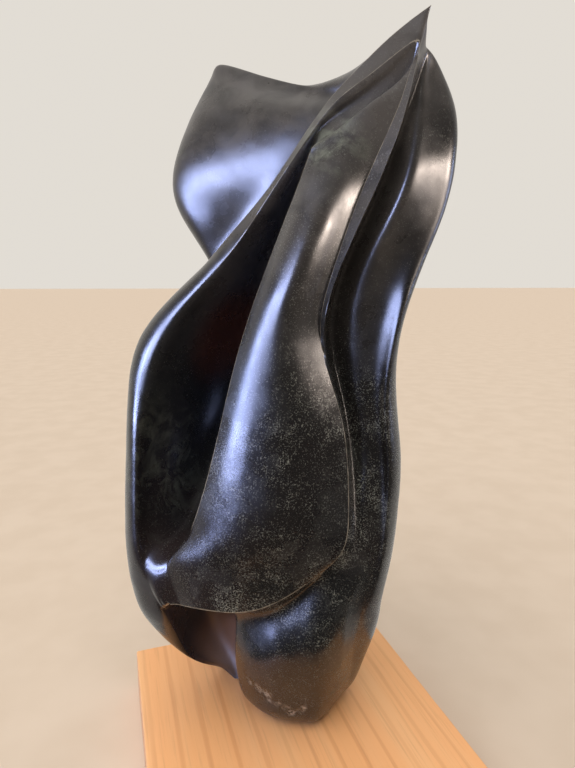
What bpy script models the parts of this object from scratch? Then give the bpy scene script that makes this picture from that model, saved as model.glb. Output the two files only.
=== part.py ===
"""A small abstract carving in dark soapstone, standing on a square block of pale wood.

The stone is one flowing solid: a leaf at the front that ends in a point, a rolled rim to its left with
a deep hollow between the two, a valley and a round roll to its right, and a shoulder that swells out
behind. It is drawn as named lines that run from the foot up to the tip. A line is a few stations in the
stone's own frame, in millimetres: across to the right, deep into the stone, and up from its foot.
"""

import math

import bmesh
import bpy
from mathutils import Matrix, Vector

MM = 0.001

# The wooden block, square to the row's axes
BLOCK_SIDE = 115
BLOCK_THICKNESS = 19
BLOCK_EDGE_ROUND = 1.2

# How the stone stands: on its own flat foot, its front turned towards the block's left corner
REST_GAP = 0.3
STONE_TURN = math.radians(-18.1)

# How finely the stone is smoothed, how often the cage is fitted, and what share of the faces is kept
SUBDIVISIONS = 2
FIT_PASSES = 2
FACES_KEPT = 0.8

# Levels run from the foot (0) past the leaf's lower edge (5) and the hollow's sill (6) to below the tip
FOOT, LEAF_EDGE, TOP = 0, 5, 15

# The rolled rim at the left: its outline, and the brow where it turns into the hollow
RIM_OUTER = {
    0: (-30, 26, 0), 1: (-34, 21, 4), 2: (-40, 13, 12), 3: (-50, 9, 23), 4: (-57, 6, 34),
    5: (-61, 4, 43), 7: (-64, 3, 73), 9: (-60, 3, 128), 10: (-54, 3, 152), 11: (-30, -1, 175),
    12: (-12, -6, 194), 14: (10, -11, 223), 15: (21, -12, 234),
}
RIM_BROW = {
    0: (-27, 22, 0), 1: (-34, 18, 7), 2: (-42, 12, 16), 3: (-46, 3, 30), 4: (-48, -5, 42),
    5: (-51, -8, 50), 6: (-56, -9, 66), 7: (-57, -10, 78), 8: (-55, -9, 103), 9: (-53, -8, 128),
    10: (-44, -7, 153), 11: (-25, -7, 173), 12: (-10, -10, 193), 14: (12, -14, 222), 15: (23, -14, 230),
}
# The deepest line of the arch by the foot, the sill above it, and the long hollow
HOLLOW = {
    0: (-22, 17, 0), 1: (-23, 19, 6), 2: (-27, 22, 13), 3: (-32, 23, 25), 4: (-34, 14, 43),
    5: (-44, -14, 55), 6: (-48, -13, 70), 7: (-38, 3, 79), 8: (-34, 24, 96), 9: (-25, 33, 120),
    10: (-19, 29, 148), 11: (-11, 21, 172), 12: (-2, 8, 194), 13: (5, -8, 209), 14: (10, -12, 217),
    15: (26, -13, 228),
}
# The two edges of the leaf, and below its lower edge the two sides of the stem it grows from
LEAF_LEFT = {
    0: (-15, 3, 0), 1: (-18, -1, 6), 2: (-21, -2, 14), 3: (-22, -6, 33), 4: (-22, -8, 48),
    5: (-38, -17, 56), 6: (-43, -16, 72), 7: (-35, -18, 84), 8: (-27, -22, 110), 10: (-16, -22, 152),
    12: (-1, -19, 192), 13: (5, -17, 207), 14: (9, -17, 211), 15: (29, -13, 224),
}
LEAF_RIGHT = {
    0: (8, -6, 0), 1: (8, -12, 6), 2: (8, -17, 22), 3: (6, -23, 45), 4: (7, -18, 64),
    5: (11, -25, 75), 6: (17, -26, 84), 8: (17, -25, 114), 9: (14, -24, 131), 10: (8, -24, 152),
    11: (12, -24, 172), 12: (19, -20, 192), 14: (32, -17, 222), 15: (35, -15, 232),
}
# The valley to the right of the leaf, the crest of the roll beside it, and the roll's outline
VALLEY = {
    0: (14, 2, 0), 1: (15, -4, 4), 2: (17, -11, 22), 3: (17, -18, 44), 4: (18, -18, 59),
    5: (20, -17, 64), 6: (21, -15, 78), 8: (20, -7, 108), 9: (17, -5, 129), 10: (12, -3, 151),
    11: (16, -3, 172), 12: (26, -4, 194), 14: (36, -7, 223), 15: (40, -6, 235),
}
ROLL_CREST = {
    0: (16, 11, 0), 1: (21, 5, 4), 2: (24, -2, 20), 3: (25, -9, 41), 4: (28, -11, 53),
    5: (30, -11, 60), 6: (33, -11, 75), 8: (34, -9, 108), 9: (32, -9, 129), 10: (35, -9, 152),
    11: (40, -7, 173), 12: (47, -5, 193), 13: (49, -6, 208), 15: (44, -3, 236),
}
ROLL_OUTER = {
    0: (15, 17, 0), 1: (24, 10, 4), 2: (28, 4, 19), 3: (33, 1, 35), 4: (34, -1, 47), 5: (35, -1, 54),
    6: (38, 0, 70), 8: (40, 1, 105), 10: (37, 1, 150), 12: (51, 2, 194), 14: (54, 3, 226), 15: (48, 3, 237),
}
# The left end of the shoulder behind, where it stands clear of the rim
SHOULDER = {11: (-33, 33, 177), 12: (-47, 32, 200), 13: (-45, 33, 219), 14: (-38, 39, 238), 15: (-32, 43, 251)}

# The point of the leaf, where the rim's brow meets its lip, and the tip's left and right edges below it
TIP, MEETING, TIP_LEFT, TIP_RIGHT = (41, -12, 250), (37, -14, 240), (31, -12, 243), (39, -11, 242)
# The ridge along the top, from the roll back to the shoulder's corner
RIDGE = [(41, -4, 242), (22, 18, 243), (-5, 35, 243), (-26, 44, 255)]

# How the hollow's section runs from its brow to its floor, by level: the share of the way across and
# the share of the depth, at the shelf and again at the wall
HOLLOW_SECTION = {
    0: (0.13, 0.5, 0.5, 0.87), 4: (0.12, 0.25, 0.45, 0.75), 5: (0.35, 0.35, 0.65, 0.65),
    6: (0.3, 0.4, 0.65, 0.8), 7: (0.2, 0.2, 0.6, 0.65), 8: (0.12, 0.26, 0.58, 0.47),
    9: (0.25, 0.16, 0.6, 0.45), 10: (0.25, 0.16, 0.6, 0.45), 12: (0.35, 0.08, 0.68, 0.4),
    15: (0.35, 0.08, 0.68, 0.4),
}
# How the roll's section runs from the valley to its crest, by level: the share of the way across and how
# far the stone swells there, at the bump and again at its flank
ROLL_SECTION = {
    0: (0.3, 0, 0.7, 0), 5: (0.3, 0, 0.75, -0.4), 8: (0.35, 0, 0.78, -1.2), 10: (0.3, 1.5, 0.75, -1),
    11: (0.27, 4, 0.65, 1), 12: (0.27, 7, 0.55, 6), 13: (0.27, 5, 0.55, 4), 14: (0.27, 1.5, 0.6, 1.3),
    15: (0.27, 0.3, 0.6, 0.2),
}

# By level: how far the leaf's face swells forward and rises above its edges, how wide its raised lip is,
# and how far the shoulder and the back swell
LEAF_SWELL = {
    0: 3, 1: 4.5, 2: 5.5, 3: 6.5, 4: 4, 5: 6, 6: 9, 7: 11.5, 8: 9, 9: 8.5, 10: 8, 11: 8, 12: 6.5, 13: 2, 14: 1.2, 15: 0,
}
LEAF_RISE = {0: 0, 3: 0, 4: -2, 5: -5, 6: -1, 7: 0, 13: 0, 14: 3, 15: 0}
LIP_WIDTH = {10: 1, 11: 1.8, 12: 3.6, 13: 3.6, 14: 2, 15: 1.3}
SHOULDER_SWELL = {11: 0, 12: 3.5, 13: 5, 14: 4, 15: 1.5}
BACK_SWELL = {0: 14, 1: 18, 2: 24, 3: 30, 4: 35, 5: 38, 6: 41, 8: 45, 9: 46, 10: 44, 11: 40, 13: 36, 15: 24}

# The ring's points by name, from the rim round the front; the back's six follow
(OUTER, BROW, SHELF, WALL, FLOOR, UNDER, LEFT, FACE_A, FACE_B, FACE_C, RIGHT, LIP, DIP, BUMP, FLANK, CREST,
 EDGE) = range(17)
RING = 23

# Where the carved lines stay crisp: the line, from level, to level, how crisp
CRISP = [
    (OUTER, 11, 15, 1), (BROW, 11, 15, 0.8), (LEFT, 0, 4, 0.9), (LEFT, 6, 7, 0.4),
    (LEFT, 7, 13, 1), (LEFT, 13, 14, 0.6), (RIGHT, 5, 15, 1), (LIP, 9, 15, 0.9), (CREST, 3, 11, 0.3),
]


def clear_scene():
    for old in list(bpy.data.objects):
        bpy.data.objects.remove(old)


def station(line, level):
    """A line's point at a level: its own station, or a smooth curve through those about it."""
    if level in line:
        return Vector(line[level])
    keys = sorted(line)
    low = max(k for k in keys if k < level)
    high = min(k for k in keys if k > level)
    before = keys[max(keys.index(low) - 1, 0)]
    after = keys[min(keys.index(high) + 1, len(keys) - 1)]
    start, end = Vector(line[low]), Vector(line[high])
    leave = (end - Vector(line[before])) * (high - low) / (high - before)
    arrive = (Vector(line[after]) - start) * (high - low) / (after - low)
    share = (level - low) / (high - low)
    square, cube = share**2, share**3
    swing = leave * (cube - 2 * square + share) + arrive * (cube - square)
    return start.lerp(end, 3 * square - 2 * cube) + swing


def size_at(sizes, level):
    """A size that changes in straight steps between the levels that state it."""
    low = max(k for k in sizes if k <= level)
    high = min(k for k in sizes if k >= level)
    share = (level - low) / max(high - low, 1)
    return sizes[low] * (1 - share) + sizes[high] * share


def section_at(sections, level):
    """The four sizes that state a section at a level."""
    return [size_at({key: sizes[i] for key, sizes in sections.items()}, level) for i in range(4)]


def between(start, end, across, deep, up):
    """A point between two others, with its own share of the way on each axis."""
    return Vector(s + (e - s) * share for s, e, share in zip(start, end, (across, deep, up)))


def lip_point(level, right, valley):
    """The raised lip above, the leaf's thickness in the middle, and a plain fold on the stem."""
    if level < LEAF_EDGE:
        return right.lerp(valley, 0.5) + Vector((0, -1, 0))
    if level < min(LIP_WIDTH):
        return right + Vector((0.5, 7, 0))
    return right + size_at(LIP_WIDTH, level) * Vector((1, -0.5, 0))


def front_points(level):
    """The seventeen points round the front, from the rim's outline to the roll's."""
    outer, brow, floor, left, right, valley, crest, edge = (
        station(line, level)
        for line in (RIM_OUTER, RIM_BROW, HOLLOW, LEAF_LEFT, LEAF_RIGHT, VALLEY, ROLL_CREST, ROLL_OUTER)
    )
    shelf_across, shelf_deep, wall_across, wall_deep = section_at(HOLLOW_SECTION, level)
    shelf = between(brow, floor, shelf_across, shelf_deep, 0.33)
    wall = between(brow, floor, wall_across, wall_deep, 0.66)
    depth = max(floor.y - left.y, 0)
    under = between(left, floor, 0.5 - 0.5 * min(depth / 30, 1), 0.55, 0.5) + Vector((0.16 * depth, 0, 0))
    swell, rise = size_at(LEAF_SWELL, level), size_at(LEAF_RISE, level)
    face = [left.lerp(right, share) + Vector((0, -swell * out, rise * up))
            for share, out, up in ((0.2, 0.8, 0.25), (0.5, 1, 1), (0.8, 0.45, 0.7))]
    lip = lip_point(level, right, valley)
    bump_across, bump_out, flank_across, flank_out = section_at(ROLL_SECTION, level)
    bump = valley.lerp(crest, bump_across) - Vector((0, bump_out, 0))
    flank = valley.lerp(crest, flank_across) - Vector((0, flank_out, 0))
    return [outer, brow, shelf, wall, floor, under, left, *face, right, lip, valley, bump, flank, crest, edge]


def back_points(level):
    """The six points round the back: to the rim below, and by way of the shoulder above."""
    roll, rim = station(ROLL_OUTER, level), station(RIM_OUTER, level)
    has_shoulder = level >= min(SHOULDER)
    end = station(SHOULDER, level) if has_shoulder else rim
    steps = 4 if has_shoulder else 7
    swell = Vector((0, size_at(BACK_SWELL, level), -9 if level == TOP else 0))
    points = []
    for step in range(1, steps):
        turn = math.pi * step / steps
        points.append(roll.lerp(end, (1 - math.cos(turn)) / 2) + swell * math.sin(turn))
    if has_shoulder:
        drop = Vector((0, 5, -5)) if level == TOP else Vector()
        notch = rim + Vector((2, 20, 2 + drop.z))
        bulge = Vector((0, -size_at(SHOULDER_SWELL, level), 0))
        points += [end, (rim + Vector((2, 20, 2))).lerp(end, 0.5) + bulge + drop, notch]
    return points


def close_top(cage, ring):
    """The point of the leaf, the fan inside its lip, and the faces from the back up to the ridge."""
    tip, meeting, left, right = (cage.verts.new(p) for p in (TIP, MEETING, TIP_LEFT, TIP_RIGHT))
    roll, middle, saddle, corner = (cage.verts.new(p) for p in RIDGE)
    back_a, back_b, back_c, shoulder, shoulder_front, notch = ring[EDGE + 1:]
    faces = [(a, b, meeting) for a, b in zip(ring[BROW:RIGHT], ring[SHELF:LIP])]
    faces += [
        (ring[OUTER], ring[BROW], meeting, left), (left, meeting, tip),
        (ring[RIGHT], ring[LIP], right, meeting), (meeting, right, tip),
        (ring[LIP], ring[DIP], roll, right), (right, roll, tip),
        (ring[DIP], ring[BUMP], ring[FLANK], roll), (ring[FLANK], ring[CREST], ring[EDGE], roll),
        (ring[EDGE], back_a, roll), (back_a, back_b, middle, roll), (back_b, back_c, saddle, middle),
        (back_c, shoulder, corner, saddle), (shoulder, shoulder_front, corner),
        (shoulder_front, notch, saddle, corner), (notch, ring[OUTER], middle, saddle),
        (ring[OUTER], left, middle), (left, tip, roll, middle),
    ]
    for face in faces:
        cage.faces.new(face)
    crisp = [(ring[OUTER], left, 1), (left, tip, 1), (ring[BROW], meeting, 0.8), (ring[RIGHT], meeting, 0.8),
             (ring[LIP], right, 1), (right, tip, 1)]
    for a, b, weight in crisp:
        make_crisp(cage, a, b, weight)
    tip[cage.verts.layers.float["crease_vert"]] = 1


def make_crisp(cage, a, b, weight):
    cage.edges.get((a, b))[cage.edges.layers.float["crease_edge"]] = weight


def stone_cage():
    """The coarse cage: rings joined up the lines, closed by the foot below and the ridge above."""
    cage = bmesh.new()
    cage.edges.layers.float.new("crease_edge")
    cage.verts.layers.float.new("crease_vert")
    rings = []
    for level in range(TOP + 1):
        rings.append([cage.verts.new(p) for p in front_points(level) + back_points(level)])
    for below, above in zip(rings, rings[1:]):
        for i in range(RING):
            j = (i + 1) % RING
            cage.faces.new((below[i], below[j], above[j], above[i]))
    cage.faces.new(reversed(rings[FOOT]))
    close_top(cage, rings[TOP])
    for line, first, last, weight in CRISP:
        for below, above in zip(rings[first:last], rings[first + 1:last + 1]):
            make_crisp(cage, below[line], above[line], weight)
    for i in range(RING):
        make_crisp(cage, rings[FOOT][i - 1], rings[FOOT][i], 1)
    lower_edge = rings[LEAF_EDGE]
    for i in range(SHELF, RIGHT):
        make_crisp(cage, lower_edge[i], lower_edge[i + 1], min(0.1 + 0.3 * (i - BROW), 1))
    return cage


def fit_cage(stone, passes):
    """Push the cage out until the smoothed stone runs through the named lines."""
    wanted = [v.co.copy() for v in stone.data.vertices]
    for _ in range(passes):
        bpy.context.view_layer.update()
        smooth = stone.evaluated_get(bpy.context.evaluated_depsgraph_get()).data
        moves = [aim - smooth.vertices[i].co for i, aim in enumerate(wanted)]
        for vertex, move in zip(stone.data.vertices, moves):
            vertex.co += move
        stone.data.update()


def build_stone(collection):
    cage = stone_cage()
    mesh = bpy.data.meshes.new("soapstone_carving")
    cage.to_mesh(mesh)
    cage.free()
    mesh.transform(Matrix.Scale(MM, 4))
    stone = bpy.data.objects.new("soapstone_carving", mesh)
    collection.objects.link(stone)
    smooth = stone.modifiers.new("Smooth", "SUBSURF")
    smooth.levels = smooth.render_levels = SUBDIVISIONS
    fit_cage(stone, FIT_PASSES)
    fewer = stone.modifiers.new("Fewer faces", "DECIMATE")
    fewer.ratio = FACES_KEPT
    stand = Matrix.Translation((0, 0, (BLOCK_THICKNESS + REST_GAP) * MM))
    mesh.transform(stand @ Matrix.Rotation(STONE_TURN, 4, "Z"))
    mesh.materials.append(plain_material("soapstone", (0.02, 0.02, 0.022, 1), 0.25))
    return stone


def build_block(collection):
    bpy.ops.mesh.primitive_cube_add(size=1, location=(0, 0, BLOCK_THICKNESS * MM / 2))
    block = bpy.context.object
    block.name = block.data.name = "wooden_base"
    block.scale = (BLOCK_SIDE * MM, BLOCK_SIDE * MM, BLOCK_THICKNESS * MM)
    bpy.ops.object.transform_apply(location=True, rotation=True, scale=True)
    for other in list(block.users_collection):
        other.objects.unlink(block)
    collection.objects.link(block)
    edges = block.modifiers.new("Eased edges", "BEVEL")
    edges.width = BLOCK_EDGE_ROUND * MM
    edges.segments = 2
    block.data.materials.append(plain_material("pale_wood", (0.72, 0.47, 0.26, 1), 0.5))
    return block


def plain_material(name, color, roughness):
    material = bpy.data.materials.new(name)
    material.use_nodes = True
    shader = material.node_tree.nodes["Principled BSDF"]
    shader.inputs["Base Color"].default_value = color
    shader.inputs["Roughness"].default_value = roughness
    return material


def main():
    clear_scene()
    collection = bpy.data.collections.new("soapstone_sculpture")
    bpy.context.scene.collection.children.link(collection)
    build_stone(collection)
    build_block(collection)


main()
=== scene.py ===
"""A dark soapstone carving on its square block of pale wood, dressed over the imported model.

The carving is worked as it would be by hand: a drum with a side for every carved line is cut into levels,
pulled to the lines, closed to its point, smoothed, rubbed and worn. The lines are in the stone's own frame,
in millimetres: across to the right, deep into the stone, and up from its foot.
"""

import math

import bmesh
import bpy
from mathutils import Matrix, Vector, noise

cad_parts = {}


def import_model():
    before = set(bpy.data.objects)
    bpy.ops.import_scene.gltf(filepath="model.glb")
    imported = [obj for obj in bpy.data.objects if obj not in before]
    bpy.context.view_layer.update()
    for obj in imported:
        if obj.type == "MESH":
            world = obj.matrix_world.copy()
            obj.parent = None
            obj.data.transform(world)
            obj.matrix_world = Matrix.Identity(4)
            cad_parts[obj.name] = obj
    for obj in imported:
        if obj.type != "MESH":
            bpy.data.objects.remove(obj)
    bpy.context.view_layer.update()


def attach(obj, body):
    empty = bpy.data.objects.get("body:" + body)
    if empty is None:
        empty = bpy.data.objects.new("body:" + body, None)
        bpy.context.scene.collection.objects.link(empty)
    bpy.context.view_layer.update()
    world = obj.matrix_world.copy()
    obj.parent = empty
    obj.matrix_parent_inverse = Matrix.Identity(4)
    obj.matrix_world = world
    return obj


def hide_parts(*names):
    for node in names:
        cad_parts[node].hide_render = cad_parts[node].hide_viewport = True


MM = 0.001
# How many times the stone's cage is smoothed
FINE = 4
# Where the lamps point: this far up, in metres
HEART = 0.15

# The wooden block, square to the row's axes
BLOCK_SIDE = 115
BLOCK_THICKNESS = 19
BLOCK_EDGE_ROUND = 1.2
# The knocks in its upper edges: how far in and down they reach, how close together they come in waves to
# the metre, and how high a wave has to be to leave one
KNOCK_REACH = 2
KNOCK_DEPTH = 0.9
KNOCK_WAVES, KNOCK_FROM = 140, 0.15

# How the stone stands: on its own flat foot, its front turned towards the block's left corner
REST_GAP = 0.3
STONE_TURN = math.radians(-18.1)

# How often the cage is fitted to the lines
FIT_PASSES = 2

# Levels run from the foot (0) past the leaf's lower edge (5) and the hollow's sill (6) to below the tip
FOOT, LEAF_EDGE, TOP = 0, 5, 15

# The rolled rim at the left: its outline, and the brow where it turns into the hollow
RIM_OUTER = {
    0: (-30, 26, 0), 1: (-34, 21, 4), 2: (-40, 13, 12), 3: (-50, 9, 23), 4: (-57, 6, 34),
    5: (-61, 4, 43), 7: (-64, 3, 73), 9: (-60, 3, 128), 10: (-54, 3, 152), 11: (-30, -1, 175),
    12: (-12, -6, 194), 14: (10, -11, 223), 15: (21, -12, 234),
}
RIM_BROW = {
    0: (-27, 22, 0), 1: (-34, 18, 7), 2: (-42, 12, 16), 3: (-46, 3, 30), 4: (-48, -5, 42),
    5: (-51, -8, 50), 6: (-56, -9, 66), 7: (-57, -10, 78), 8: (-55, -9, 103), 9: (-53, -8, 128),
    10: (-44, -7, 153), 11: (-25, -7, 173), 12: (-10, -10, 193), 14: (12, -14, 222), 15: (23, -14, 230),
}
# The deepest line of the arch by the foot, the sill above it, and the long hollow
HOLLOW = {
    0: (-22, 17, 0), 1: (-23, 19, 6), 2: (-27, 22, 13), 3: (-32, 23, 25), 4: (-34, 14, 43),
    5: (-44, -14, 55), 6: (-48, -13, 70), 7: (-38, 3, 79), 8: (-34, 24, 96), 9: (-25, 33, 120),
    10: (-19, 29, 148), 11: (-11, 21, 172), 12: (-2, 8, 194), 13: (5, -8, 209), 14: (10, -12, 217),
    15: (26, -13, 228),
}
# The two edges of the leaf, and below its lower edge the two sides of the stem it grows from
LEAF_LEFT = {
    0: (-15, 3, 0), 1: (-18, -1, 6), 2: (-21, -2, 14), 3: (-22, -6, 33), 4: (-22, -8, 48),
    5: (-38, -17, 56), 6: (-43, -16, 72), 7: (-35, -18, 84), 8: (-27, -22, 110), 10: (-16, -22, 152),
    12: (-1, -19, 192), 13: (5, -17, 207), 14: (9, -17, 211), 15: (29, -13, 224),
}
LEAF_RIGHT = {
    0: (8, -6, 0), 1: (8, -12, 6), 2: (8, -17, 22), 3: (6, -23, 45), 4: (7, -18, 64),
    5: (11, -25, 75), 6: (17, -26, 84), 8: (17, -25, 114), 9: (14, -24, 131), 10: (8, -24, 152),
    11: (12, -24, 172), 12: (19, -20, 192), 14: (32, -17, 222), 15: (35, -15, 232),
}
# The valley to the right of the leaf, the crest of the roll beside it, and the roll's outline
VALLEY = {
    0: (14, 2, 0), 1: (15, -4, 4), 2: (17, -11, 22), 3: (17, -18, 44), 4: (18, -18, 59),
    5: (20, -17, 64), 6: (21, -15, 78), 8: (20, -7, 108), 9: (17, -5, 129), 10: (12, -3, 151),
    11: (16, -3, 172), 12: (26, -4, 194), 14: (36, -7, 223), 15: (40, -6, 235),
}
ROLL_CREST = {
    0: (16, 11, 0), 1: (21, 5, 4), 2: (24, -2, 20), 3: (25, -9, 41), 4: (28, -11, 53),
    5: (30, -11, 60), 6: (33, -11, 75), 8: (34, -9, 108), 9: (32, -9, 129), 10: (35, -9, 152),
    11: (40, -7, 173), 12: (47, -5, 193), 13: (49, -6, 208), 15: (44, -3, 236),
}
ROLL_OUTER = {
    0: (15, 17, 0), 1: (24, 10, 4), 2: (28, 4, 19), 3: (33, 1, 35), 4: (34, -1, 47), 5: (35, -1, 54),
    6: (38, 0, 70), 8: (40, 1, 105), 10: (37, 1, 150), 12: (51, 2, 194), 14: (54, 3, 226), 15: (48, 3, 237),
}
# The left end of the shoulder behind, where it stands clear of the rim
SHOULDER = {
    11: (-33, 33, 177), 12: (-47, 32, 200), 13: (-45, 33, 219), 14: (-38, 39, 238), 15: (-32, 43, 251),
}

# The point of the leaf, where the rim's brow meets its lip, and the tip's left and right edges below it
TIP, MEETING, TIP_LEFT, TIP_RIGHT = (41, -12, 250), (37, -14, 240), (31, -12, 243), (39, -11, 242)
# The ridge along the top, from the roll back to the shoulder's corner
RIDGE = [(41, -4, 242), (22, 18, 243), (-5, 35, 243), (-26, 44, 255)]

# How the hollow's section runs from its brow to its floor, by level: the share of the way across and
# the share of the depth, at the shelf and again at the wall
HOLLOW_SECTION = {
    0: (0.13, 0.5, 0.5, 0.87), 4: (0.12, 0.25, 0.45, 0.75), 5: (0.35, 0.35, 0.65, 0.65),
    6: (0.3, 0.4, 0.65, 0.8), 7: (0.2, 0.2, 0.6, 0.65), 8: (0.12, 0.26, 0.58, 0.47),
    9: (0.25, 0.16, 0.6, 0.45), 10: (0.25, 0.16, 0.6, 0.45), 12: (0.35, 0.08, 0.68, 0.4),
    15: (0.35, 0.08, 0.68, 0.4),
}
# How the roll's section runs from the valley to its crest, by level: the share of the way across and how
# far the stone swells there, at the bump and again at its flank
ROLL_SECTION = {
    0: (0.3, 0, 0.7, 0), 5: (0.3, 0, 0.75, -0.4), 8: (0.35, 0, 0.78, -1.2), 10: (0.3, 1.5, 0.75, -1),
    11: (0.27, 4, 0.65, 1), 12: (0.27, 7, 0.55, 6), 13: (0.27, 5, 0.55, 4), 14: (0.27, 1.5, 0.6, 1.3),
    15: (0.27, 0.3, 0.6, 0.2),
}

# By level: how far the leaf's face swells forward and rises above its edges, how wide its raised lip is,
# and how far the shoulder and the back swell
LEAF_SWELL = {
    0: 3, 1: 4.5, 2: 5.5, 3: 6.5, 4: 4, 5: 6, 6: 9, 7: 11.5, 8: 9, 9: 8.5, 10: 8, 11: 8, 12: 6.5,
    13: 2, 14: 1.2, 15: 0,
}
LEAF_RISE = {0: 0, 3: 0, 4: -2, 5: -5, 6: -1, 7: 0, 13: 0, 14: 3, 15: 0}
LIP_WIDTH = {10: 1, 11: 1.8, 12: 3.6, 13: 3.6, 14: 2, 15: 1.3}
SHOULDER_SWELL = {11: 0, 12: 3.5, 13: 5, 14: 4, 15: 1.5}
BACK_SWELL = {0: 14, 1: 18, 2: 24, 3: 30, 4: 35, 5: 38, 6: 41, 8: 45, 9: 46, 10: 44, 11: 40, 13: 36, 15: 24}

# Across the leaf's face from left to right: the share of the way, of the swell, and of the rise
FACE_STEPS = ((0.2, 0.8, 0.25), (0.5, 1, 1), (0.8, 0.45, 0.7))
# The leaf's left edge is cut under as the hollow gets deeper, and no further past this depth
DEEP_HOLLOW = 30
# Behind the leaf's right edge: the fold down the stem, and the leaf's own thickness
STEM_FOLD, LEAF_THICKNESS = (0, -1, 0), (0.5, 7, 0)
# From the rim to the notch in front of the shoulder, and how far the last level drops there and behind
NOTCH = (2, 20, 2)
TOP_NOTCH_DROP = (0, 5, -5)
TOP_BACK_DROP = 9

# The ring's points by name, from the rim round the front; the back's six follow
(OUTER, BROW, SHELF, WALL, FLOOR, UNDER, LEFT, FACE_A, FACE_B, FACE_C, RIGHT, LIP, DIP, BUMP, FLANK, CREST,
 EDGE) = range(17)
RING = 23

# Where the carved lines stay crisp: the line, from level, to level, how crisp
CRISP = [
    (OUTER, 11, 15, 1), (BROW, 11, 15, 0.8), (LEFT, 0, 4, 0.9), (LEFT, 6, 7, 0.4),
    (LEFT, 7, 13, 1), (LEFT, 13, 14, 0.6), (RIGHT, 5, 15, 1), (LIP, 9, 15, 0.9), (CREST, 3, 11, 0.3),
]

# Flakes out of the foot: where, how wide, how deep
CHIPS = [((-16.2, -10.8, 21.5), 1.6, 0.15), ((-12.6, -13, 20.4), 2.4, 0.3), ((-9.6, -14.1, 19.2), 2.6, 0.4),
         ((-9, -13.8, 16), 1.6, 0.3), ((-5.6, -14.3, 14.6), 1.8, 0.2), ((-2.4, -13.9, 13), 2, 0.3),
         ((-0.6, -13.4, 10.2), 2.4, 0.4), ((2.6, -14, 11.4), 2, 0.3), ((4.2, -14.6, 13.4), 1.3, 0.2)]
# A carved edge crisper than this is painted pale, for its wear and as a painted highlight along it
PALE_EDGE_FROM = 0.6
# How finely a flake's outline and its broken face are uneven, in waves to the metre
CHIP_OUTLINE, CHIP_FACE = 900, 1600
# What rubbing leaves on the surface: its name, how wide its waves are and how high
RUBBING = (("Rasped", 20, 0.35), ("Papered", 6, 0.06))
# Edges sharper than this are shaded crisp, on the stone and on the block
STONE_CRISP = math.radians(38)
BLOCK_CRISP = math.radians(30)

# The soapstone's colours
BLACK_STONE = (0.010, 0.0105, 0.0115, 1)
BROWN_STONE = (0.027, 0.016, 0.0155, 1)
SCUFF_AND_PAINTED_SHEEN_GREY = (0.092, 0.087, 0.087, 1)
GREEN_WISP = (0.075, 0.085, 0.072, 1)
PALE_DUST = (0.29, 0.31, 0.28, 1)
GREEN_SHELF = (0.075, 0.082, 0.068, 1)
PALE_CLOUD = (0.17, 0.19, 0.165, 1)
PAINTED_WOOD_REFLECTION_BROWN = (0.20, 0.115, 0.06, 1)
PAINTED_WOOD_REFLECTION_RED = (0.075, 0.022, 0.01, 1)
PALE_WEAR_AND_EDGE_HIGHLIGHT = (0.42, 0.38, 0.32, 1)
BROKEN_STONE = (0.40, 0.36, 0.31, 1)
# Patches of the stone with a colour laid on: the middle and how far each reaches, in metres. The tip's grey
# is scuffing with a painted sheen; the arch's inside and the deep hollow hold painted reflections of the wood
TIP_SCUFF_AND_SHEEN = ((0.03, -0.02, 0.26), 0.035)
RIM_SHELF = ((-0.0475, 0.0155, 0.125), 0.034)
TIP_CLOUD = ((0.0064, -0.0179, 0.2297), 0.016)
ARCH_INSIDE = ((-0.0182, 0.022, 0.0373), 0.021)
HOLLOW_DEEP = ((-0.0134, 0.0202, 0.1653), 0.026)

# The wood's colours, and the floor's two tones
EARLY_WOOD, LATE_WOOD = (0.86, 0.43, 0.18, 1), (0.66, 0.28, 0.10, 1)
WARM_BAND, DARK_FIBRE = (0.86, 0.50, 0.24, 1), (0.56, 0.27, 0.11, 1)
FLOOR_TONES = ((0.60, 0.50, 0.41, 1), (0.63, 0.53, 0.44, 1))
FLOOR_WIDTH = 60

# The soft lamps: how far round from the viewer and how far up in degrees, how far off, wide and tall in
# metres, how strong, and the colour
LAMPS = {
    "window": (-46, 15, 0.95, 0.95, 0.34, 32, (0.48, 0.57, 1.0)),
    "side_window": (-78, 5, 0.95, 0.36, 0.34, 9, (0.45, 0.56, 1.0)),
    "low_window": (-66, -6.5, 0.95, 0.6, 0.08, 9, (0.45, 0.54, 1.0)),
    "warm_lamp": (71, 10, 0.95, 0.15, 0.18, 6, (1.0, 0.84, 0.73)),
    "far_window": (98, 4, 1.1, 0.12, 0.4, 3, (0.55, 0.64, 1.0)),
}
# The even light from above: round, up, how strong, the colour, and how wide the sky it comes from is
OVERHEAD = (-30, 65, 3.2, (1.0, 0.96, 0.90))
OVERHEAD_SPREAD = math.radians(70)
PALE_SKY = (0.76, 0.72, 0.66, 1)

# The viewer's eye in the stone's frame, and the picture in pixels: its height, its focal length, and how
# far above its middle a level line of sight would fall
EYE_RIGHT, EYE_BACK, EYE_UP = -2.0, -193.9, 167.6
PICTURE_TALL, PICTURE_FOCAL, LEVEL_ABOVE = 768, 550, 99
SENSOR = 36


# The carved lines

def station(line, level):
    """A line's point at a level: its own station, or a smooth curve through those about it."""
    if level in line:
        return Vector(line[level])
    keys = sorted(line)
    low = max(k for k in keys if k < level)
    high = min(k for k in keys if k > level)
    before = keys[max(keys.index(low) - 1, 0)]
    after = keys[min(keys.index(high) + 1, len(keys) - 1)]
    start, end = Vector(line[low]), Vector(line[high])
    leave = (end - Vector(line[before])) * (high - low) / (high - before)
    arrive = (Vector(line[after]) - start) * (high - low) / (after - low)
    share = (level - low) / (high - low)
    square, cube = share**2, share**3
    swing = leave * (cube - 2 * square + share) + arrive * (cube - square)
    return start.lerp(end, 3 * square - 2 * cube) + swing


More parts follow.
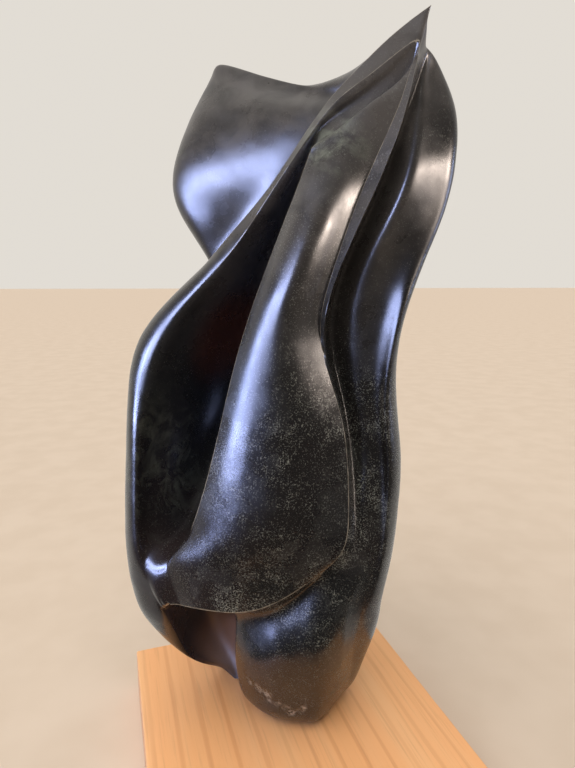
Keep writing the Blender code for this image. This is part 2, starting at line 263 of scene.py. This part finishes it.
def size_at(sizes, level):
    """A size that changes in straight steps between the levels that state it."""
    low = max(k for k in sizes if k <= level)
    high = min(k for k in sizes if k >= level)
    share = (level - low) / max(high - low, 1)
    return sizes[low] * (1 - share) + sizes[high] * share


def section_at(sections, level):
    """The four sizes that state a section at a level."""
    return [size_at({key: sizes[i] for key, sizes in sections.items()}, level) for i in range(4)]


def between(start, end, across, deep, up):
    """A point between two others, with its own share of the way on each axis."""
    return Vector(s + (e - s) * share for s, e, share in zip(start, end, (across, deep, up)))


def lip_point(level, right, valley):
    """The raised lip above, the leaf's thickness in the middle, and a plain fold on the stem."""
    if level < LEAF_EDGE:
        return right.lerp(valley, 0.5) + Vector(STEM_FOLD)
    if level < min(LIP_WIDTH):
        return right + Vector(LEAF_THICKNESS)
    return right + size_at(LIP_WIDTH, level) * Vector((1, -0.5, 0))


def front_points(level):
    """The seventeen points round the front, from the rim's outline to the roll's."""
    outer, brow, floor, left, right, valley, crest, edge = (
        station(line, level)
        for line in (RIM_OUTER, RIM_BROW, HOLLOW, LEAF_LEFT, LEAF_RIGHT, VALLEY, ROLL_CREST, ROLL_OUTER)
    )
    shelf_across, shelf_deep, wall_across, wall_deep = section_at(HOLLOW_SECTION, level)
    shelf = between(brow, floor, shelf_across, shelf_deep, up=0.33)
    wall = between(brow, floor, wall_across, wall_deep, up=0.66)
    depth = max(floor.y - left.y, 0)
    under_across = 0.5 - 0.5 * min(depth / DEEP_HOLLOW, 1)
    under = between(left, floor, under_across, deep=0.55, up=0.5) + Vector((0.16 * depth, 0, 0))
    swell, rise = size_at(LEAF_SWELL, level), size_at(LEAF_RISE, level)
    face = [left.lerp(right, share) + Vector((0, -swell * out, rise * up)) for share, out, up in FACE_STEPS]
    lip = lip_point(level, right, valley)
    bump_across, bump_out, flank_across, flank_out = section_at(ROLL_SECTION, level)
    bump = valley.lerp(crest, bump_across) - Vector((0, bump_out, 0))
    flank = valley.lerp(crest, flank_across) - Vector((0, flank_out, 0))
    return [outer, brow, shelf, wall, floor, under, left, *face, right, lip, valley, bump, flank, crest, edge]


def back_points(level):
    """The six points round the back: to the rim below, and by way of the shoulder above."""
    roll, rim = station(ROLL_OUTER, level), station(RIM_OUTER, level)
    has_shoulder = level >= min(SHOULDER)
    end = station(SHOULDER, level) if has_shoulder else rim
    steps = 4 if has_shoulder else 7
    swell = Vector((0, size_at(BACK_SWELL, level), -TOP_BACK_DROP if level == TOP else 0))
    points = []
    for step in range(1, steps):
        turn = math.pi * step / steps
        points.append(roll.lerp(end, (1 - math.cos(turn)) / 2) + swell * math.sin(turn))
    if has_shoulder:
        drop = Vector(TOP_NOTCH_DROP) if level == TOP else Vector()
        notch = rim + Vector(NOTCH)
        bulge = Vector((0, -size_at(SHOULDER_SWELL, level), 0))
        points += [end, notch.lerp(end, 0.5) + bulge + drop, notch + Vector((0, 0, drop.z))]
    return points


def close_top(cage, ring):
    """The point of the leaf, the fan inside its lip, and the faces from the back up to the ridge."""
    tip, meeting, left, right = (cage.verts.new(p) for p in (TIP, MEETING, TIP_LEFT, TIP_RIGHT))
    roll, middle, saddle, corner = (cage.verts.new(p) for p in RIDGE)
    back_a, back_b, back_c, shoulder, shoulder_front, notch = ring[EDGE + 1:]
    faces = [(a, b, meeting) for a, b in zip(ring[BROW:RIGHT], ring[SHELF:LIP])]
    faces += [
        (ring[OUTER], ring[BROW], meeting, left), (left, meeting, tip),
        (ring[RIGHT], ring[LIP], right, meeting), (meeting, right, tip),
        (ring[LIP], ring[DIP], roll, right), (right, roll, tip),
        (ring[DIP], ring[BUMP], ring[FLANK], roll), (ring[FLANK], ring[CREST], ring[EDGE], roll),
        (ring[EDGE], back_a, roll), (back_a, back_b, middle, roll), (back_b, back_c, saddle, middle),
        (back_c, shoulder, corner, saddle), (shoulder, shoulder_front, corner),
        (shoulder_front, notch, saddle, corner), (notch, ring[OUTER], middle, saddle),
        (ring[OUTER], left, middle), (left, tip, roll, middle),
    ]
    for face in faces:
        cage.faces.new(face)
    crisp = [(ring[OUTER], left, 1), (left, tip, 1), (ring[BROW], meeting, 0.8), (ring[RIGHT], meeting, 0.8),
             (ring[LIP], right, 1), (right, tip, 1)]
    for a, b, weight in crisp:
        make_crisp(cage, a, b, weight)
    tip[cage.verts.layers.float["crease_vert"]] = 1


def make_crisp(cage, a, b, weight):
    cage.edges.get((a, b))[cage.edges.layers.float["crease_edge"]] = weight


# The carving

def only(obj):
    """Select one object and nothing else."""
    bpy.ops.object.select_all(action="DESELECT")
    obj.select_set(True)
    bpy.context.view_layer.objects.active = obj


def rough_drum():
    """An open drum with one side for each carved line, cut across into levels one apart."""
    bpy.ops.object.select_all(action="DESELECT")
    bpy.ops.mesh.primitive_cylinder_add(vertices=RING, radius=0.05, depth=TOP, end_fill_type="NGON",
                                        location=(0, 0, TOP / 2))
    drum = bpy.context.object
    drum.name = drum.data.name = "carved_stone"
    bpy.ops.object.transform_apply(location=True, rotation=True, scale=True)
    bpy.ops.object.mode_set(mode="EDIT")
    bpy.ops.mesh.select_mode(type="EDGE")
    bpy.ops.mesh.select_all(action="DESELECT")
    mesh = bmesh.from_edit_mesh(drum.data)
    for edge in mesh.edges:
        edge.select_set(abs(edge.verts[0].co.z - edge.verts[1].co.z) > 1)
    bmesh.update_edit_mesh(drum.data)
    bpy.ops.mesh.subdivide(number_cuts=TOP - 1)
    bpy.ops.mesh.select_mode(type="FACE")
    bpy.ops.mesh.select_all(action="DESELECT")
    mesh = bmesh.from_edit_mesh(drum.data)
    for face in mesh.faces:
        face.select_set(face.calc_center_median().z > TOP - 0.1)
    bmesh.update_edit_mesh(drum.data)
    bpy.ops.mesh.delete(type="ONLY_FACE")
    bpy.ops.object.mode_set(mode="OBJECT")
    return drum


def pull_to_lines(drum):
    """Move every point of the drum to its carved line, and close the top to the leaf's point."""
    cage = bmesh.new()
    cage.from_mesh(drum.data)
    cage.edges.layers.float.new("crease_edge")
    cage.verts.layers.float.new("crease_vert")
    rings = [[] for _ in range(TOP + 1)]
    for vertex in cage.verts:
        rings[round(vertex.co.z)].append(vertex)
    for level, ring in enumerate(rings):
        ring.sort(key=lambda v: math.atan2(v.co.y, v.co.x))
        for vertex, place in zip(ring, front_points(level) + back_points(level)):
            vertex.co = place
    close_top(cage, rings[TOP])
    for line, first, last, weight in CRISP:
        for below, above in zip(rings[first:last], rings[first + 1:last + 1]):
            make_crisp(cage, below[line], above[line], weight)
    for i in range(RING):
        make_crisp(cage, rings[FOOT][i - 1], rings[FOOT][i], 1)
    lower_edge = rings[LEAF_EDGE]
    for i in range(SHELF, RIGHT):
        make_crisp(cage, lower_edge[i], lower_edge[i + 1], min(0.1 + 0.3 * (i - BROW), 1))
    bmesh.ops.recalc_face_normals(cage, faces=cage.faces)
    cage.to_mesh(drum.data)
    cage.free()
    drum.data.transform(Matrix.Scale(MM, 4))


def fit_cage(stone, passes):
    """Push the cage out until the smoothed stone runs through the named lines."""
    wanted = [v.co.copy() for v in stone.data.vertices]
    for _ in range(passes):
        bpy.context.view_layer.update()
        smooth = stone.evaluated_get(bpy.context.evaluated_depsgraph_get()).data
        moves = [aim - smooth.vertices[i].co for i, aim in enumerate(wanted)]
        for vertex, move in zip(stone.data.vertices, moves):
            vertex.co += move
        stone.data.update()


def mark_pale_edges(stone):
    """Mark the points along the crisp carved edges, painted pale for wear and as a painted highlight along
    the edge.
    """
    mesh = stone.data
    crease = mesh.attributes["crease_edge"].data
    worn = [0.0] * len(mesh.vertices)
    for edge, crispness in zip(mesh.edges, crease):
        if crispness.value > PALE_EDGE_FROM:
            for index in edge.vertices:
                worn[index] = 1.0
    mesh.attributes.new("edge_wear_and_highlight", "FLOAT", "POINT").data.foreach_set("value", worn)


def chip_foot(stone, place):
    """Break small flakes out of the front of the foot, and mark them for the finish."""
    marks = [0.0] * len(stone.data.vertices)
    chips = [(place @ (Vector(at) * MM), size * MM, depth * MM) for at, size, depth in CHIPS]
    for vertex in stone.data.vertices:
        for centre, size, depth in chips:
            away = (vertex.co - centre).length / size
            edge = 1 + 0.5 * noise.noise(vertex.co * CHIP_OUTLINE)
            if away < edge:
                bite = 1 - away / edge
                marks[vertex.index] = max(marks[vertex.index], min(1.6 * bite, 1))
                uneven = 0.8 + 0.4 * noise.noise(vertex.co * CHIP_FACE)
                vertex.co -= vertex.normal * depth * min(2 * bite, 1) * uneven
    stone.data.attributes.new("chipped", "FLOAT", "POINT").data.foreach_set("value", marks)


def apply_all(obj):
    """Apply a piece's modifiers, first to last."""
    only(obj)
    for modifier in list(obj.modifiers):
        bpy.ops.object.modifier_apply(modifier=modifier.name)


def rub_surface(stone):
    """The slight waviness that rasps and wet paper leave in a hand-rubbed surface."""
    for name, width, height in RUBBING:
        texture = bpy.data.textures.new(name, "CLOUDS")
        texture.noise_scale = width * MM
        rubbed = stone.modifiers.new(name, "DISPLACE")
        rubbed.texture = texture
        rubbed.texture_coords = "LOCAL"
        rubbed.strength = height * MM
        rubbed.mid_level = 0.5


def carve_stone():
    """The whole carving, from the drum to its finish."""
    stone = rough_drum()
    pull_to_lines(stone)
    smooth = stone.modifiers.new("Smooth", "SUBSURF")
    smooth.levels = smooth.render_levels = FINE
    fit_cage(stone, FIT_PASSES)
    lift = Matrix.Translation((0, 0, (BLOCK_THICKNESS + REST_GAP) * MM))
    place = lift @ Matrix.Rotation(STONE_TURN, 4, "Z")
    stone.data.transform(place)
    apply_all(stone)
    mark_pale_edges(stone)
    chip_foot(stone, place)
    rub_surface(stone)
    apply_all(stone)
    only(stone)
    bpy.ops.object.shade_smooth_by_angle(angle=STONE_CRISP)
    stone.data.materials.append(polished_soapstone())
    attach(stone, "root")
    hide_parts("soapstone_carving")


# The block

def saw_block():
    """The block: a sawn square of board with its arrises eased."""
    bpy.ops.object.select_all(action="DESELECT")
    bpy.ops.mesh.primitive_cube_add(size=1, location=(0, 0, BLOCK_THICKNESS * MM / 2),
                                    scale=(BLOCK_SIDE * MM, BLOCK_SIDE * MM, BLOCK_THICKNESS * MM))
    block = bpy.context.object
    block.name = block.data.name = "pale_wood_block"
    bpy.ops.object.transform_apply(location=True, rotation=True, scale=True)
    bpy.ops.object.mode_set(mode="EDIT")
    bpy.ops.mesh.select_all(action="SELECT")
    bpy.ops.mesh.bevel(offset=BLOCK_EDGE_ROUND * MM, segments=4, profile=0.6, affect="EDGES")
    bpy.ops.mesh.select_all(action="SELECT")
    bpy.ops.mesh.subdivide(number_cuts=12)
    bpy.ops.object.mode_set(mode="OBJECT")
    dent_arrises(block)
    only(block)
    bpy.ops.object.shade_smooth_by_angle(angle=BLOCK_CRISP)
    block.data.materials.append(pale_wood())
    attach(block, "root")
    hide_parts("wooden_base")


def dent_arrises(block):
    """Small knocks along the upper edges."""
    half = BLOCK_SIDE * MM / 2
    for vertex in block.data.vertices:
        place = vertex.co
        if place.z < BLOCK_THICKNESS * MM * 0.6:
            continue
        reach = min(half - abs(place.x), half - abs(place.y))
        near = max(0.0, 1 - reach / (KNOCK_REACH * MM))
        knock = max(0.0, noise.noise(place * KNOCK_WAVES) - KNOCK_FROM)
        place.z -= near * knock * KNOCK_DEPTH * MM


# The finishes

def new_finish(name):
    material = bpy.data.materials.new(name)
    material.use_nodes = True
    return material


def put(material, kind, inputs=None, **settings):
    """Add a node, with its settings, and wire or set its inputs."""
    node = material.node_tree.nodes.new("ShaderNode" + kind)
    for name, value in settings.items():
        setattr(node, name, value)
    for name, value in (inputs or {}).items():
        if isinstance(value, bpy.types.NodeSocket):
            material.node_tree.links.new(value, node.inputs[name])
        else:
            node.inputs[name].default_value = value
    return node


def ramp(material, value, low, high, out_low=0.0, out_high=1.0):
    """A value that climbs from one level to another."""
    inputs = {"Value": value, "From Min": low, "From Max": high, "To Min": out_low, "To Max": out_high}
    return put(material, "MapRange", inputs, interpolation_type="SMOOTHSTEP").outputs[0]


def times(material, first, second):
    return put(material, "Math", {0: first, 1: second}, operation="MULTIPLY").outputs[0]


def plus(material, first, second):
    return put(material, "Math", {0: first, 1: second}, operation="ADD").outputs[0]


def blend(material, share, under, over):
    """One colour laid over another by a share."""
    node = put(material, "Mix", data_type="RGBA")
    for index, value in ((0, share), (6, under), (7, over)):
        if isinstance(value, bpy.types.NodeSocket):
            material.node_tree.links.new(value, node.inputs[index])
        else:
            node.inputs[index].default_value = value
    return node.outputs[2]


def noise_of(material, coords, scale, detail=3.0, roughness=0.55, distortion=0.0):
    inputs = {"Vector": coords, "Scale": scale, "Detail": detail, "Roughness": roughness,
              "Distortion": distortion}
    return put(material, "TexNoise", inputs).outputs["Fac"]


def flecks(material, coords, scale, size, chosen):
    """Small pale grains: one in some of the cells, of uneven size."""
    cells = put(material, "TexVoronoi", {"Vector": coords, "Scale": scale})
    parts = put(material, "SeparateColor", {"Color": cells.outputs["Color"]})
    dot = ramp(material, cells.outputs["Distance"], size, size * 0.45)
    picked = ramp(material, parts.outputs[0], chosen, min(chosen + 0.12, 1))
    return times(material, dot, picked)


def patch(material, coords, centre, size):
    """A soft-edged patch of the stone about one place."""
    away = put(material, "VectorMath", {0: coords, 1: centre}, operation="DISTANCE").outputs["Value"]
    return ramp(material, away, size, size * 0.35)


def polished_soapstone():
    """Near-black stone with brown and green clouds, drifts of fine pale dust, wisps, grey scuffs with a
    painted sheen up high, painted reflections of the wood in the arch and the hollow, and pale worn edges
    with a painted highlight along them.
    """
    stone = new_finish("polished_soapstone")
    coords = put(stone, "TexCoord").outputs["Object"]
    place = put(stone, "SeparateXYZ", {"Vector": coords})
    wear = put(stone, "Attribute", attribute_name="edge_wear_and_highlight").outputs["Fac"]
    crumbs = ramp(stone, noise_of(stone, coords, 620, 3, 0.7), 0.44, 0.58, 0.1, 1)
    chips = times(stone, put(stone, "Attribute", attribute_name="chipped").outputs["Fac"], crumbs)

    # Where the marks lie: at the front, low down, high up where hands hold it and a sheen is painted, and
    # about the leaf's belly
    front = ramp(stone, place.outputs["Y"], 0.012, -0.02, 0.15, 1)
    low = ramp(stone, place.outputs["Z"], 0.13, 0.05, 0.2, 1)
    high = ramp(stone, place.outputs["Z"], 0.14, 0.235)
    belly = ramp(stone, place.outputs["Z"], 0.21, 0.13, 0.3, 1)
    clouds = ramp(stone, noise_of(stone, coords, 24, 5, 0.62, 0.5), 0.4, 0.66)
    drifts = ramp(stone, noise_of(stone, coords, 120, 4, 0.65, 0.6), 0.3, 0.7, 0.3, 1)
    cloudy = times(stone, plus(stone, times(stone, clouds, 0.55), 0.45), drifts)
    dust = times(stone, cloudy, times(stone, front, belly))
    grains = noise_of(stone, coords, 2100, 2, 0.8)
    fine = ramp(stone, plus(stone, grains, times(stone, dust, 0.13)), 0.625, 0.685)
    coarse = times(stone, flecks(stone, coords, 620, 0.22, 0.72), plus(stone, dust, 0.05))
    powder = times(stone, fine, plus(stone, times(stone, dust, 0.9), 0.16))
    pale = plus(stone, powder, times(stone, coarse, 0.8))

    # The colour, laid on from the bare stone to its worn edges with their painted highlight and its broken
    # corners, with a painted sheen and painted reflections of the wood between
    brown = ramp(stone, noise_of(stone, coords, 17, 2, 0.5, 0.4), 0.38, 0.66)
    body = blend(stone, times(stone, brown, low), BLACK_STONE, BROWN_STONE)
    # Up high at the left and about the tip: grey scuffs, and a painted sheen where the upper stone catches
    # light from above
    scuffs_and_sheen = ramp(stone, noise_of(stone, coords, 70, 4, 0.6, 0.8), 0.3, 0.7, 0.45, 1)
    left = ramp(stone, place.outputs["X"], 0.038, 0.024)
    handled_and_sheen = plus(stone, times(stone, high, left), patch(stone, coords, *TIP_SCUFF_AND_SHEEN))
    body = blend(stone, times(stone, handled_and_sheen, scuffs_and_sheen), body, SCUFF_AND_PAINTED_SHEEN_GREY)
    wisp_noise = noise_of(stone, coords, 48, 5, 0.65, 1.6)
    wisps = times(stone, ramp(stone, wisp_noise, 0.6, 0.72), clouds)
    body = blend(stone, times(stone, wisps, 0.4), body, GREEN_WISP)
    body = blend(stone, times(stone, pale, 0.9), body, PALE_DUST)
    mottle = ramp(stone, noise_of(stone, coords, 110, 5, 0.7, 1.2), 0.42, 0.68)
    shelf = times(stone, patch(stone, coords, *RIM_SHELF), mottle)
    body = blend(stone, times(stone, shelf, 0.75), body, GREEN_SHELF)
    cloud = times(stone, patch(stone, coords, *TIP_CLOUD), mottle)
    body = blend(stone, times(stone, cloud, 0.8), body, PALE_CLOUD)
    # A painted reflection of the wood block: warm brown inside the arch by the foot
    inside = patch(stone, coords, *ARCH_INSIDE)
    body = blend(stone, times(stone, inside, 0.95), body, PAINTED_WOOD_REFLECTION_BROWN)
    # A painted reflection of the wood: dark red-brown deep in the hollow
    deep = patch(stone, coords, *HOLLOW_DEEP)
    body = blend(stone, times(stone, deep, 0.8), body, PAINTED_WOOD_REFLECTION_RED)
    # Pale edges: partly wear, partly a painted highlight where a rounded edge would catch the light
    worn = ramp(stone, wear, 0.45, 1)
    rubbed = times(stone, worn, ramp(stone, noise_of(stone, coords, 220), 0.3, 0.6, 0.25, 0.9))
    body = blend(stone, rubbed, body, PALE_WEAR_AND_EDGE_HIGHLIGHT)
    body = blend(stone, times(stone, chips, 0.85), body, BROKEN_STONE)

    # The polish, dulled by dust, by handling, and where the stone is broken or was never polished
    dull = ramp(stone, noise_of(stone, coords, 60, 4, 0.6), 0.35, 0.7, 0.2, 0.32)
    dull = plus(stone, dull, times(stone, pale, 0.2))
    dull = plus(stone, dull, times(stone, high, 0.06))
    dull = plus(stone, dull, times(stone, plus(stone, chips, inside), 0.3))
    relief = plus(stone, times(stone, grains, 0.5), times(stone, pale, -0.5))
    bump = put(stone, "Bump", {"Strength": 0.12, "Distance": 0.0003, "Height": relief})
    shader = stone.node_tree.nodes["Principled BSDF"]
    stone.node_tree.links.new(body, shader.inputs["Base Color"])
    stone.node_tree.links.new(dull, shader.inputs["Roughness"])
    stone.node_tree.links.new(bump.outputs["Normal"], shader.inputs["Normal"])
    shader.inputs["IOR"].default_value = 1.54
    return stone


def pale_wood():
    """Straight-grained softwood: thin lines of late wood, broad warm bands and fine dark fibres."""
    wood = new_finish("pale_straight_grained_wood")
    coords = put(wood, "TexCoord").outputs["Object"]
    ring_place = put(wood, "Mapping", {"Vector": coords, "Location": (0.19, 0, 0.13), "Scale": (1, 0.12, 1)})
    ring_inputs = {"Vector": ring_place.outputs[0], "Scale": 46, "Distortion": 1.2, "Detail": 2,
                   "Detail Scale": 0.8}
    rings = put(wood, "TexWave", ring_inputs, wave_type="RINGS", rings_direction="Y")
    late = ramp(wood, rings.outputs["Fac"], 0.86, 1.0)
    fibre_place = put(wood, "Mapping", {"Vector": coords, "Scale": (1, 0.03, 1)})
    fibres = noise_of(wood, fibre_place.outputs[0], 900, 3, 0.6)
    broad = noise_of(wood, fibre_place.outputs[0], 90, 2, 0.5)
    colour = blend(wood, times(wood, late, 0.5), EARLY_WOOD, LATE_WOOD)
    colour = blend(wood, ramp(wood, broad, 0.35, 0.7, 0, 0.5), colour, WARM_BAND)
    colour = blend(wood, ramp(wood, fibres, 0.5, 0.75, 0, 0.35), colour, DARK_FIBRE)
    shader = wood.node_tree.nodes["Principled BSDF"]
    wood.node_tree.links.new(colour, shader.inputs["Base Color"])
    wood.node_tree.links.new(ramp(wood, fibres, 0.3, 0.7, 0.42, 0.58), shader.inputs["Roughness"])
    relief = plus(wood, times(wood, fibres, 0.6), times(wood, late, 0.4))
    bump = put(wood, "Bump", {"Strength": 0.25, "Distance": 0.0003, "Height": relief})
    wood.node_tree.links.new(bump.outputs["Normal"], shader.inputs["Normal"])
    return wood


# The floor, the light and the camera

def around(azimuth, height, distance):
    """A place round the carving: 0 is the viewer's side, to the right is positive, in degrees."""
    turn, rise = math.radians(azimuth) + STONE_TURN, math.radians(height)
    flat = distance * math.cos(rise)
    return Vector((math.sin(turn) * flat, -math.cos(turn) * flat, HEART + distance * math.sin(rise)))


def lay_floor():
    """A wide plain floor, that the polish doesn't mirror."""
    bpy.ops.object.select_all(action="DESELECT")
    bpy.ops.mesh.primitive_plane_add(size=FLOOR_WIDTH, location=(0, 0, 0))
    floor = bpy.context.object
    floor.name = "floor"
    cover = new_finish("pale_floor")
    coords = put(cover, "TexCoord").outputs["Object"]
    tone = ramp(cover, noise_of(cover, coords, 30, 2), 0.3, 0.7)
    shader = cover.node_tree.nodes["Principled BSDF"]
    colour = blend(cover, tone, *FLOOR_TONES)
    cover.node_tree.links.new(colour, shader.inputs["Base Color"])
    shader.inputs["Roughness"].default_value = 1.0
    shader.inputs["Specular IOR Level"].default_value = 0.0
    floor.data.materials.append(cover)
    floor.visible_glossy = False


def soft_light(name, azimuth, height, distance, wide, tall, power, colour):
    """A soft panel turned to the carving, that only shows as a sheen in the polish."""
    light = bpy.data.lights.new(name, "AREA")
    light.shape = "RECTANGLE"
    light.size, light.size_y = wide, tall
    light.energy = power
    lamp = hang(light, azimuth, height, distance, colour)
    lamp.visible_diffuse = False


def even_light(name, azimuth, height, power, colour):
    """Wide even daylight from above, that lights every surface and makes no sheen."""
    light = bpy.data.lights.new(name, "SUN")
    light.angle = OVERHEAD_SPREAD
    light.energy = power
    lamp = hang(light, azimuth, height, distance=1.5, colour=colour)
    lamp.visible_glossy = False


def hang(light, azimuth, height, distance, colour):
    """Give a light its colour and its place, and point it at the carving."""
    light.color = colour
    lamp = bpy.data.objects.new(light.name, light)
    bpy.context.scene.collection.objects.link(lamp)
    lamp.location = around(azimuth, height, distance)
    lamp.rotation_euler = (Vector((0, 0, HEART)) - lamp.location).to_track_quat("-Z", "Y").to_euler()
    return lamp


def light_studio():
    """Cool windows at the left, small lamps at the right, even light from above, and a pale sky beyond."""
    for name, lamp in LAMPS.items():
        soft_light(name, *lamp)
    even_light("overhead", *OVERHEAD)
    world = bpy.data.worlds.new("pale_studio")
    bpy.context.scene.world = world
    world.use_nodes = True
    nodes, links = world.node_tree.nodes, world.node_tree.links
    # The sky is dim behind the viewer and brightens beyond the carving
    ahead = nodes.new("ShaderNodeVectorMath")
    ahead.operation = "DOT_PRODUCT"
    links.new(nodes.new("ShaderNodeTexCoord").outputs["Generated"], ahead.inputs[0])
    ahead.inputs[1].default_value = Matrix.Rotation(STONE_TURN, 3, "Z") @ Vector((0, 1, 0))
    bright = nodes.new("ShaderNodeMapRange")
    links.new(ahead.outputs["Value"], bright.inputs["Value"])
    for name, value in (("From Min", -0.1), ("From Max", 0.6), ("To Min", 0.1), ("To Max", 1.0)):
        bright.inputs[name].default_value = value
    sky = nodes["Background"]
    sky.inputs["Color"].default_value = PALE_SKY
    links.new(bright.outputs[0], sky.inputs["Strength"])
    bpy.context.scene.view_settings.view_transform = "Standard"


def set_camera():
    """The viewer's eye: close, a little to the left, looking slightly down."""
    camera = bpy.data.cameras.new("camera")
    camera.sensor_fit = "AUTO"
    camera.sensor_width = SENSOR
    camera.lens = SENSOR * PICTURE_FOCAL / PICTURE_TALL
    eye = bpy.data.objects.new("camera", camera)
    bpy.context.scene.collection.objects.link(eye)
    turn = Matrix.Rotation(STONE_TURN, 4, "Z")
    place = turn @ (Vector((EYE_RIGHT, EYE_BACK, EYE_UP + BLOCK_THICKNESS + REST_GAP)) * MM)
    look = turn @ Matrix.Rotation(math.pi / 2 - math.atan(LEVEL_ABOVE / PICTURE_FOCAL), 4, "X")
    eye.matrix_world = Matrix.Translation(place) @ look
    bpy.context.scene.camera = eye


def main():
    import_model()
    carve_stone()
    saw_block()
    lay_floor()
    light_studio()
    set_camera()


main()
